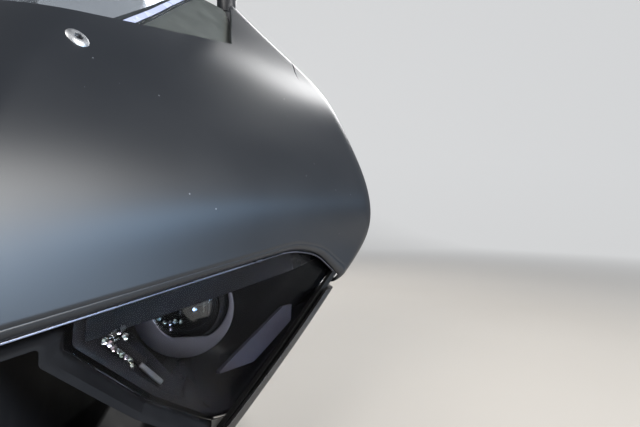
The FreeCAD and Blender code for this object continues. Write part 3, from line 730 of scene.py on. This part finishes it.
facetSharp = 5.0    # degrees
ringTop = 22.6    # the rim and the plate are cut off here, under the lid
lampRim = [    # radius, place along Y
    (30, -177.4), (30, -184), (27.8, -184), (27, -183.4), (21.8, -180.2), (21.2, -179), (21.2, -177.4),
]
lampPlate = {
    "radius": 30.4, "hole": 23.8, "shift": 3.6, "flat": -17.6, "front": -186.0, "deep": 1.8, "edge": 0.5,
    "steps": 96,
}
lens = {"front": -188.0, "bulge": 9.0, "radius": 20.5, "wall": 1.6, "steps": 14}
diodes = {
    "y": -182.5, "facing": (0.64, -0.74, 0.20), "crown": 0.5,
    # across and up from the middle of the lens, radius
    "gems": [(-14.6, -6.2, 1.9), (-11.4, -8.2, 1.5), (-8.2, -8.8, 1.9), (-5.2, -8.0, 1.8), (-1.8, -8.2, 1.5),
             (-7.8, -12.4, 1.9), (6.5, -1.0, 1.8)],
    # across and up, height
    "ribs": [(11.5, -3.0, 9.0), (14.6, -4.5, 9.0), (-2.5, -4.0, 5.0)], "ribWidth": 1.1,
}


def plateRoundLens():
    # its hole is set off to one side and flat below
    mesh = bmesh.new()
    bmesh.ops.create_circle(mesh, segments=lampPlate["steps"], radius=lampPlate["radius"] * mm)
    hole = bmesh.ops.create_circle(mesh, segments=lampPlate["steps"], radius=lampPlate["hole"] * mm)["verts"]
    shift = lampPlate["shift"] * mm
    bmesh.ops.translate(mesh, verts=hole, vec=(shift, shift, 0))
    for vert in hole:
        vert.co.y = max(vert.co.y, lampPlate["flat"] * mm)
    bmesh.ops.bridge_loops(mesh, edges=mesh.edges[:])
    drawnOut(mesh, -lampPlate["deep"])
    bmesh.ops.recalc_face_normals(mesh, faces=mesh.faces)
    bevelled(mesh, rimsOf(mesh), lampPlate["edge"], 3)
    return setDown(mesh, (lampCentre[0], lampPlate["front"], lampCentre[1]), (90, "X"))


def clippedTop(mesh):
    # nothing of a ring reaches above the lid
    plane = Vector((0, 0, lampCentre[1] + ringTop)) * mm
    cut = bmesh.ops.bisect_plane(mesh, geom=everything(mesh), dist=sewn["cut"] * mm, plane_co=plane,
                                 plane_no=(0, 0, 1), clear_outer=True)
    bmesh.ops.holes_fill(mesh, edges=only(cut["geom_cut"], BMEdge))
    return mesh


def makeLens():
    # a thin bowl, its two faces arcs about one middle
    rise, reach, wall = lens["bulge"], lens["radius"], lens["wall"]
    ball = (reach ** 2 + rise ** 2) / (2 * rise)
    outside, inside = [], []
    for i in range(lens["steps"] + 1):
        across = reach * i / lens["steps"]
        within = (reach - wall) * (1 - i / lens["steps"])
        outside.append((across, lens["front"] + ball - math.sqrt(ball ** 2 - across ** 2)))
        inside.append((within, lens["front"] + ball - math.sqrt((ball - wall) ** 2 - within ** 2)))
    bothSides("LampLens", lathe(outside + inside, lampCentre), "lensGlass", "lens_glass", ["lamp_lens"])


def makeDiodes():
    # cut glass and upright ribs behind the lens
    x, z = lampCentre
    mesh = bmesh.new()
    for across, up, radius in diodes["gems"]:
        cutGem(mesh, (x + across, diodes["y"], z + up), diodes["facing"], radius, diodes["crown"], radius)
    parts = [mesh]
    for across, up, height in diodes["ribs"]:
        foot = Vector((x + across, diodes["y"], z + up))
        parts.append(rod(foot, foot + Vector((0, 0, height)), diodes["ribWidth"]))
    bothSides("LampDiodes", gathered(parts), "crystalClear", "crystal_metal", sharp=facetSharp)


def makeProjector():
    rim = clippedTop(lathe(lampRim, lampCentre, True))
    bothSides("LampRim", rim, "rimChrome", "bezel_metal", ["lamp_bezel"])
    bothSides("LampPlate", clippedTop(plateRoundLens()), "bezelMetal", "bezel_metal")
    makeLens()
    makeDiodes()


crystals = {
    "first": (50.9, -259.2, -6.7), "last": (60.6, -248.6, -20.6), "facing": (0.735, -0.668, 0.117),
    # along the row in shares, aside in mm, radius, turn in degrees
    "gems": [(0.00, 0.0, 1.9, 10), (0.16, 0.3, 1.7, 35), (0.31, -0.2, 1.9, 5), (0.46, 0.3, 1.6, 50),
             (0.60, -0.1, 1.8, 20), (0.75, 0.2, 1.6, 40), (0.89, 0.0, 1.7, 15), (1.00, -1.6, 1.3, 30),
             (0.22, 3.4, 1.5, 25), (0.38, 3.3, 1.4, 0), (0.53, 3.1, 1.5, 45), (0.68, 3.2, 1.3, 12),
             (0.05, 4.6, 3.0, 20), (0.16, 8.2, 3.4, 48), (0.40, 6.8, 2.0, 5)],
    "tall": 1.7 / 1.8, "crown": 0.5,    # height and small face, in shares of the radius
    # from, to, width
    "bar": ((62.4, -246.8, -22.0), (71.4, -239.6, -34.4), 2.6),
    "rail": ((54.0, -254.5, -8.0), (64.0, -243.0, -23.0), 4.4),
}


def makeCrystals():
    first, last = Vector(crystals["first"]), Vector(crystals["last"])
    facing = Vector(crystals["facing"]).normalized()
    aside = facing.cross((last - first).normalized())
    mesh = bmesh.new()
    for share, out, radius, spin in crystals["gems"]:
        spot = first.lerp(last, share) + aside * out
        cutGem(mesh, spot, facing, radius, crystals["crown"], crystals["tall"] * radius, spin)
    bothSides("LampCrystals", mesh, "crystalClear", "crystal_metal", ["lamp_crystals"], facetSharp)
    bothSides("CrystalBar", rod(*crystals["bar"]), "stayMetal", "crystal_metal")
    bothSides("CrystalRail", rod(*crystals["rail"]), "lampBlack", "crystal_metal")


# Room for the lens plate in the housing and the duct, where it shows as a low swelling

pocket = {
    "radius": 32.0, "wall": 0.8, "front": -218.0, "back": -177.0, "span": 88.0, "turn": 221.0, "inner": 15.0,
    "slopeIn": 3.4, "slopeFrom": 4.0, "slopeTo": -3.0, "steps": 72, "spanSteps": 32,
}
pocketed = [
    # piece, node, finish, slot
    ("LampHousing", "lamp_housing", "lampBlack", "lamp_black"),
    ("IntakeDuct", "intake_duct", "ductBlack", "duct_black"),
]


def pocketCutter(sign):
    cutter = bmesh.new()
    bmesh.ops.create_circle(cutter, cap_ends=True, segments=pocket["steps"], radius=pocket["radius"] * mm)
    bmesh.ops.bisect_plane(cutter, geom=everything(cutter), plane_co=(pocket["inner"] * mm, 0, 0),
                           plane_no=(-1, 0, 0), clear_outer=True)
    drawnOut(cutter, pocket["front"] - pocket["back"])
    setDown(cutter, (lampCentre[0], pocket["front"], lampCentre[1]), (pocket["turn"], "Z"), (90, "X"))
    bmesh.ops.scale(cutter, verts=cutter.verts, vec=(sign, 1, 1))
    bmesh.ops.recalc_face_normals(cutter, faces=cutter.faces)
    return cutter


def makeHousings():
    for side, sign in (("left", 1), ("right", -1)):
        for title, node, material, slot in pocketed:
            name = side + "_" + node
            cutBy(finishPiece(side + title, copyNode(name), material, slot, nodes=[name]), pocketCutter(sign))


def makeDuctSwelling():
    # the pocket's wall in the duct, its front edge sloped
    x, z = lampCentre
    inner, outer, slope = pocket["radius"], pocket["radius"] + pocket["wall"], pocket["slopeIn"]
    start, end = (pocket["front"] + pocket[place] for place in ("slopeFrom", "slopeTo"))
    mesh = bmesh.new()
    profile = [(inner, pocket["back"]), (inner, start), (inner - slope, end),
               (outer - slope, end), (outer, start), (outer, pocket["back"])]
    verts = [mesh.verts.new(((x + r) * mm, y * mm, z * mm)) for r, y in profile]
    face = mesh.faces.new(verts)
    half = math.radians(pocket["span"]) / 2
    centre = (x * mm, 0, z * mm)
    turned = Matrix.Rotation(half - math.radians(pocket["turn"]), 3, "Y")
    bmesh.ops.rotate(mesh, verts=verts, cent=centre, matrix=turned)
    bmesh.ops.spin(mesh, geom=verts + list(face.edges) + [face], cent=centre, axis=(0, 1, 0),
                   angle=-2 * half, steps=pocket["spanSteps"])
    bmesh.ops.recalc_face_normals(mesh, faces=mesh.faces)
    bothSides("DuctSwelling", mesh, "ductBlack", "duct_black")


# Screws at the foot of the screen and on the lamp pads

screws = {
    # place, facing and size of each one on the bike's left
    "Screen": [((31.0, -232.0, 137.0), (0.61, -0.60, 0.51), 1.0)],
    "LampPad": [((108.5, -109.8, 11.0), (0, 1, 0), 0.9), ((108.5, -109.8, -7.0), (0, 1, 0), 0.9)],
    "socket": 4.0, "socketDeep": 1.6, "socketRim": 0.1, "steps": 36, "sharp": 30.0,
    "rows": [(2.9, 1.9), (4.3, 1.6), (5.3, 1.0), (5.8, 0.45), (6.0, 0.0), (6.0, -1.2)],    # radius, height
}


def screwHead(spot, facing, size):
    # from the floor of its six-sided socket out over the domed head
    mesh = bmesh.new()
    ring = bmesh.ops.create_circle(mesh, cap_ends=True, segments=screws["steps"], radius=1)["verts"]
    corner = math.pi / 3
    top = screws["rows"][0][1]
    for vert in ring:
        angle = math.atan2(vert.co.y, vert.co.x) % corner - corner / 2
        vert.co *= screws["socket"] / 2 / math.cos(angle) * mm
        vert.co.z = (top - screws["socketDeep"]) * mm
    edges = mesh.edges[:]
    for radius, height in [(None, top - screws["socketRim"])] + screws["rows"]:
        grown = bmesh.ops.extrude_edge_only(mesh, edges=edges)["geom"]
        edges = only(grown, BMEdge)
        for vert in only(grown, BMVert):
            flat = Vector((vert.co.x, vert.co.y, 0))
            vert.co = (flat.normalized() * radius * mm if radius else flat) + Vector((0, 0, height * mm))
    bmesh.ops.recalc_face_normals(mesh, faces=mesh.faces)
    bmesh.ops.scale(mesh, verts=mesh.verts, vec=(size, size, size))
    bmesh.ops.rotate(mesh, verts=mesh.verts, matrix=Vector(facing).to_track_quat("Z", "Y").to_matrix())
    return setDown(mesh, spot)


def makeScrews():
    for group, slot in (("Screen", "satin_black"), ("LampPad", "stay_metal")):
        mesh = gathered([screwHead(*screw) for screw in screws[group]])
        bothSides(group + "Screw", mesh, "screwSteel", slot, sharp=screws["sharp"])


# Windscreen; edges in front view: x, z, radius

screen = {
    "wall": 3.0, "edge": 0.5, "inset": 3.9, "cells": (40, 90),
    "foot": [(0, 137, 0), (28, 137, 0)],
    "side": [(28, 137, 0), (41, 150, 8), (60, 214, 90), (86, 290, 90), (93, 336, 0)],
    "head": [(0, 349, 0), (56, 349, 40), (93, 336, 0)],
}
cutEdgeBand = {    # the cut edge along each side, its pale blue-white a painted highlight
    "wall": 0.6, "edge": 0.15, "edgeSteps": 2, "inset": 3.4, "cells": (90, 3),
    "outer": [(30, 141.5, 0), (39.6, 150, 8), (58.4, 214, 90), (84.4, 290, 90), (90, 325, 0)],
    "inner": [(27, 141.5, 0), (35.4, 151, 8), (54.2, 214, 90), (80.2, 290, 90), (86, 325, 0)],
}


def makeWindscreen():
    inset = screen["inset"]
    foot, side, head = (edgeOnForm(screenForm, 0, screen[edge], inset) for edge in ("foot", "side", "head"))
    mesh = skin(screenForm, (foot, side, head, None), screen["cells"], inset)
    mirrorAcross(mesh)
    piece = finishPiece("screenSkin", mesh, "clearScreen", "clear_screen", nodes=["windscreen"])
    # the rim takes the blue painted sheen
    piece.data.materials.append(materials["screenEdge"])
    walled(piece, screen).material_offset_rim = 1
    # a band in painted highlight along each side of the screen
    mesh = band(screenForm, 0, cutEdgeBand["outer"], cutEdgeBand["inner"], cutEdgeBand)
    for piece in bothSides("ScreenPolish", mesh, "edgeWhite", "clear_screen"):
        walled(piece, cutEdgeBand)


# Instrument

dash = {
    "place": (0.0, 10.0, 176.0), "tilt": 32.0, "size": (159.4, 1.8, 87.4), "corner": 15.0, "edge": 0.4,
    "cornerSteps": 10, "edgeSteps": 2, "glassY": -1.7, "markY": -2.85, "markDeep": 0.12,
    "dialX": 30.0, "dialZ": -3.0, "dialR": 36.0, "from": 215.0, "to": -35.0,
    "ticks": 37, "tick": 1.2, "longTick": 6.0, "shortTick": 3.4, "longEvery": 3,
    "numbers": 12, "numberR": 25.5, "numberSize": 7.0,
    "bars": 8, "barX": 32.0, "barZ": -26.0, "barStep": 6.2, "barSize": (26.0, 3.6), "shortestBar": 0.35,
    "lampZ": 35.5, "lampR": 2.4, "lampsX": (-60, -50, -40, -30, -20, 62, 52), "lampSteps": 24,
}


def onDash(mesh, y):
    # from the face's own axes, rider's side to +Y, to its place
    setDown(mesh, (0, y, 0))
    return setDown(mesh, dash["place"], (dash["tilt"], "X"))


def plaque(width, height, x, z, turn=0.0):
    # a flat mark on the face
    return setDown(block((width, dash["markDeep"], height)), (x, 0, z), (turn, "Y"))


def onDial(share, radius):
    # the angle in degrees, x and z at a share of the dial's arc
    degrees = dash["from"] + (dash["to"] - dash["from"]) * share
    x = dash["dialX"] - radius * math.cos(math.radians(degrees))
    z = dash["dialZ"] + radius * math.sin(math.radians(degrees))
    return degrees, x, z


def dialTicks():
    for i in range(dash["ticks"]):
        long = dash["longTick"] if i % dash["longEvery"] == 0 else dash["shortTick"]
        degrees, x, z = onDial(i / (dash["ticks"] - 1), dash["dialR"] - long / 2)
        yield plaque(long, dash["tick"], x, z, degrees)


def dialNumbers():
    for i in range(dash["numbers"] + 1):
        text = bpy.data.curves.new("number", "FONT")
        text.body = str(i)
        text.size = dash["numberSize"] * mm
        text.align_x, text.align_y = "CENTER", "CENTER"
        text.extrude = dash["markDeep"] / 2 * mm
        holder = addObject("number", text)
        number = bmesh.new()
        number.from_mesh(evaluated(holder))
        bpy.data.objects.remove(holder)
        _, x, z = onDial(i / dash["numbers"], dash["numberR"])
        yield setDown(number, (x, 0, z), (90, "X"), (180, "Z"))


def dashBars():
    # each one longer than the one below
    wide, high = dash["barSize"]
    least = dash["shortestBar"]
    for i in range(dash["bars"]):
        width = wide * (least + (1 - least) * (i + 1) / dash["bars"])
        yield plaque(width, high, -dash["barX"] - width / 2, dash["barZ"] + i * dash["barStep"])


def dashLamps():
    radius = dash["lampR"] * mm
    for x in dash["lampsX"]:
        disc = bmesh.new()
        bmesh.ops.create_cone(disc, cap_ends=True, segments=dash["lampSteps"], radius1=radius, radius2=radius,
                              depth=dash["markDeep"] * mm)
        yield setDown(disc, (x, 0, dash["lampZ"]), (90, "X"))


def makeInstrument():
    glass = block(dash["size"])
    corners = [edge for edge in glass.edges if edge.verts[0].co.y * edge.verts[1].co.y < 0]
    bevelled(glass, corners, dash["corner"], dash["cornerSteps"])
    bevelled(glass, rimsOf(glass), dash["edge"], dash["edgeSteps"])
    finishPiece("instrumentGlass", onDash(glass, dash["glassY"]), "instrumentClear", "instrument_glass",
                nodes=["instrument_glass"])
    marks = gathered([*dialTicks(), *dashBars(), *dialNumbers(), *dashLamps()])
    finishPiece("instrumentMarks", onDash(marks, dash["markY"]), "displayMark", "instrument_glass")


# The solids that stay as they are, and those whose edges are eased

nodeFinishes = {
    "chin": "frameBlack", "beak": "frameBlack", "lip_strip": "frameBlack", "cheek_panel": "frameBlack",
    "windscreen": "clearScreen", "inner_panel": "panelGrey", "intake_duct": "ductBlack",
    "fairing_stay": "stayMetal", "instrument": "instrumentBlack", "instrument_glass": "instrumentClear",
    "lamp_cover": "lampClear", "lamp_housing": "lampBlack", "lamp_bezel": "bezelMetal",
    "lamp_barrel": "lampBlack", "lamp_lens": "lensGlass", "lamp_eyelid": "lampBlack",
    "light_guide": "guideClear", "lamp_crystals": "crystalClear",
    "mirror_foot": "mirrorBlack", "mirror_arm": "mirrorBlack", "mirror_shell": "mirrorBlack",
    "mirror_glass": "mirrorSilver", "nose_cowl": "satinBlack", "side_panel": "satinBlack",
}
easedNodes = {
    # piece, after its side where it has one, slot, width of the round in mm
    "chin": ("chinEased", "frame_black", 0.6), "beak": ("beakEased", "frame_black", 0.6),
    "lip_strip": ("LipStrip", "frame_black", 0.6), "cheek_panel": ("CheekPanel", "frame_black", 0.5),
    "inner_panel": ("InnerPanel", "panel_grey", 0.4), "mirror_foot": ("MirrorFoot", "mirror_black", 0.5),
    "mirror_arm": ("MirrorArm", "mirror_black", 1.2), "mirror_shell": ("MirrorShell", "mirror_black", 0.5),
    "fairing_stay": ("fairingStayEased", "stay_metal", 0.6),
    "instrument": ("instrumentEased", "instrument_black", 0.7),
}
foldingNodes = ("mirror_arm", "mirror_shell")


def sided(name):
    # left_mirror_arm is (left, mirror_arm), and a node in the middle has no side
    side, _, rest = name.partition("_")
    return (side, rest) if side in ("left", "right") else ("", name)


def dressNodes():
    for name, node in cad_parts.items():
        _, plain = sided(name)
        node.data.materials.clear()
        node.data.materials.append(materials[nodeFinishes[plain]])


def makeEasedNodes():
    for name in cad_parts:
        side, plain = sided(name)
        if plain not in easedNodes:
            continue
        title, slot, width = easedNodes[plain]
        body = side + "_mirror" if plain in foldingNodes else rootBody
        piece = finishPiece(side + title, copyNode(name), nodeFinishes[plain], slot, body, [name])
        easeEdges(piece, width, segments=2)


# Floor, wall and light

room = {
    "gap": 0.002, "wallY": 1.9, "wallTop": 2.6, "reach": 4.0, "bend": 0.5, "cells": (4, 48),
    "floorColour": (0.46, 0.425, 0.38), "floorLight": (0.50, 0.465, 0.42), "wallColour": (0.92, 0.91, 0.90),
    "roughness": 0.75, "cloudScale": 1.4,
    # how the far floor and wall are seen: colour, its share, and where it fades in
    "seen": (0.78, 0.79, 0.80), "seenShare": 0.8, "fades": (0.7, 2.0),
}
lamps = {
    # degrees behind the bike's left, degrees up, metres away, width, height, watts, colour, beam in degrees
    "frontWindow": (-31.0, 25.0, 2.0, 0.80, 1.45, 11.5, (1.0, 0.99, 0.97), 75.0),
    "lowWindow": (-20.0, 4.6, 2.0, 1.5, 0.13, 3.2, (0.40, 0.66, 1.0), 60.0),
    "rearWindow": (80.0, 28.0, 2.0, 1.4, 0.85, 8.5, (1.0, 1.0, 1.0), 90.0),
    "leftFill": (222.0, 42.0, 2.6, 2.0, 1.6, 13.5, (1.0, 0.98, 0.96), 90.0),
}
lampTarget = (0.10, -0.20, 0.08)
studio = {"light": (0.70, 0.79, 0.92), "strength": 0.20, "seen": (0.66, 0.67, 0.68)}    # lights, and as seen


def seenRay(owner):
    # 1 for what the camera sees, straight or through glass
    rays = addNode(owner, "ShaderNodeLightPath").outputs
    return calculated(owner, "MAXIMUM", rays["Is Camera Ray"], rays["Is Transmission Ray"])


def roomMaterial(floorZ):
    pale = newMaterial("paleFloor", room["floorColour"], room["roughness"])
    points = objectPoints(pale)
    height = addNode(pale, "ShaderNodeSeparateXYZ", {"Vector": points}).outputs["Z"]
    clouds = spread(pale, noise(pale, points, room["cloudScale"], detail=4.0), 0, 1)
    floorTone = mixColours(pale, clouds, room["floorColour"], room["floorLight"])
    upWall = spread(pale, height, 0, 1, floorZ, floorZ + room["bend"])
    toShader(pale, Base_Color=mixColours(pale, upWall, floorTone, room["wallColour"]))
    away = addNode(pale, "ShaderNodeVectorMath", {0: points}, operation="LENGTH").outputs["Value"]
    far = calculated(pale, "MULTIPLY", spread(pale, away, 0, 1, *room["fades"]), seenRay(pale))
    nodes = pale.node_tree.nodes
    seen = addNode(pale, "ShaderNodeEmission", {"Color": (*room["seen"], 1)})
    glow = addNode(pale, "ShaderNodeMixShader", {
        "Fac": calculated(pale, "MULTIPLY", far, room["seenShare"]),
        1: nodes["Principled BSDF"].outputs["BSDF"], 2: seen.outputs["Emission"]})
    pale.node_tree.links.new(glow.outputs["Shader"], nodes["Material Output"].inputs["Surface"])
    return pale


def makeRoom():
    # a floor that bends up into the wall
    floorZ = cadBox[0].z - room["gap"]
    flat = room["reach"] + room["wallY"] - room["bend"]
    quarter = room["bend"] * math.pi / 2
    mesh = bmesh.new()
    bmesh.ops.create_grid(mesh, x_segments=room["cells"][0], y_segments=room["cells"][1], size=0.5)
    for vert in mesh.verts:
        run = (vert.co.y + 0.5) * (room["reach"] + room["wallY"] + room["wallTop"])
        if run < flat:
            y, z = run - room["reach"], 0.0
        elif run < flat + quarter:
            angle = (run - flat) / room["bend"]
            y = room["wallY"] - room["bend"] + room["bend"] * math.sin(angle)
            z = room["bend"] * (1 - math.cos(angle))
        else:
            y, z = room["wallY"], room["bend"] + run - flat - quarter
        vert.co = (vert.co.x * 2 * room["reach"], y, floorZ + z)
    data = asData("studioFloor", mesh)
    data.shade_smooth()
    data.materials.append(roomMaterial(floorZ))
    addObject("studioFloor", data)


def makeLamps():
    for name, (turn, rise, away, width, height, watts, colour, beam) in lamps.items():
        data = bpy.data.lights.new(name, "AREA")
        data.shape = "RECTANGLE"
        data.size, data.size_y = width, height
        data.energy = watts
        data.color = colour
        data.spread = math.radians(beam)
        lamp = addObject(name, data)
        a, b = math.radians(turn), math.radians(rise)
        toLamp = Vector((math.cos(b) * math.cos(a), math.cos(b) * math.sin(a), math.sin(b)))
        lamp.location = Vector(lampTarget) + toLamp * away
        lamp.rotation_euler = toLamp.to_track_quat("Z", "Y").to_euler()
        lamp.visible_camera = False


def makeWorld():
    world = bpy.data.worlds.new("studioWorld")
    world.use_nodes = True
    nodes = world.node_tree.nodes
    plain = nodes["Background"]
    plain.inputs["Color"].default_value = (*studio["light"], 1)
    plain.inputs["Strength"].default_value = studio["strength"]
    seen = addNode(world, "ShaderNodeBackground", {"Color": (*studio["seen"], 1)})
    mix = addNode(world, "ShaderNodeMixShader", {
        "Fac": seenRay(world), 1: plain.outputs["Background"], 2: seen.outputs["Background"]})
    world.node_tree.links.new(mix.outputs["Shader"], nodes["World Output"].inputs["Surface"])
    bpy.context.scene.world = world
    bpy.context.scene.view_settings.view_transform = "Standard"


makeCamera()
makeMaterials()
dressNodes()
print("materials made")
makeCowl()
makeSidePanels()
makeLipTrim()
print("cowl and side panels made")
makeLampCover()
makeLampBands()
makeProjector()
makeCrystals()
makeHousings()
makeDuctSwelling()
print("lamps made")
makeEasedNodes()
print("frame, stay and mirrors made")
makeScrews()
makeWindscreen()
makeInstrument()
print("screws, screen and instrument made")
makeRoom()
makeLamps()
makeWorld()
print("room and light made")
